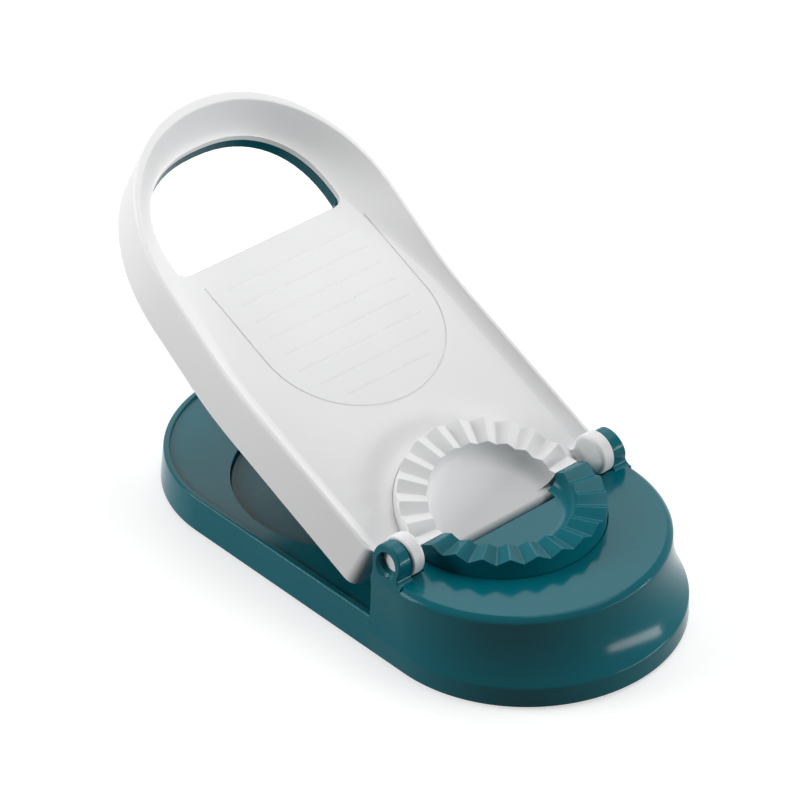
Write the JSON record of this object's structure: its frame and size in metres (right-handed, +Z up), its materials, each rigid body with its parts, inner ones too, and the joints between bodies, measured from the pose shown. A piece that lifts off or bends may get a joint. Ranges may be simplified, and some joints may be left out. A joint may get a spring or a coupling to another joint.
{
  "type": "empanada press",
  "caption": "Hinged two-in-one press: a plate under the lid flattens dough on a round bed, and toothed half rings beside the hinge crimp the filled parcel.",
  "frame": {"origin": "middle of the base's footprint, on the table that the four feet stand on", "axes": "+Z up; +X toward the end with the crimping mould, with the lid leaning back over -X; +Y along the hinge axis, to the left of someone at the handle who looks toward the mould"},
  "size_m": [0.2461, 0.115, 0.1305],
  "materials": {
    "teal_plastic": "glossy moulded plastic",
    "dark_teal_plastic": "moulded plastic, finely grained",
    "ivory_plastic": "satin moulded plastic",
    "foot_rubber": "soft matte rubber",
    "screw_steel": "plated steel"
  },
  "bodies": {
    "base": {"base_shell": "teal_plastic", "base_bottom": "dark_teal_plastic", "lower_mould": "teal_plastic", "dough_bed": "dark_teal_plastic", "foot_rear_left": "foot_rubber", "foot_rear_right": "foot_rubber", "foot_front_left": "foot_rubber", "foot_front_right": "foot_rubber", "base_screws": "screw_steel", "lower_mould_screws": "screw_steel"},
    "lid": {"lid_shell": "ivory_plastic", "lid_underplate": "teal_plastic", "upper_mould": "ivory_plastic", "press_plate": "dark_teal_plastic", "hinge_pin_left": "ivory_plastic", "hinge_pin_right": "ivory_plastic", "lid_screws": "screw_steel", "upper_mould_screws": "screw_steel"}
  },
  "joints": [
    {"name": "lid_hinge", "type": "hinge", "parent": "base", "child": "lid", "pos_m": [0.044, 0, 0.0396], "axis": [0, 1, 0], "range_deg": [-24.1, 155.9]}
  ]
}
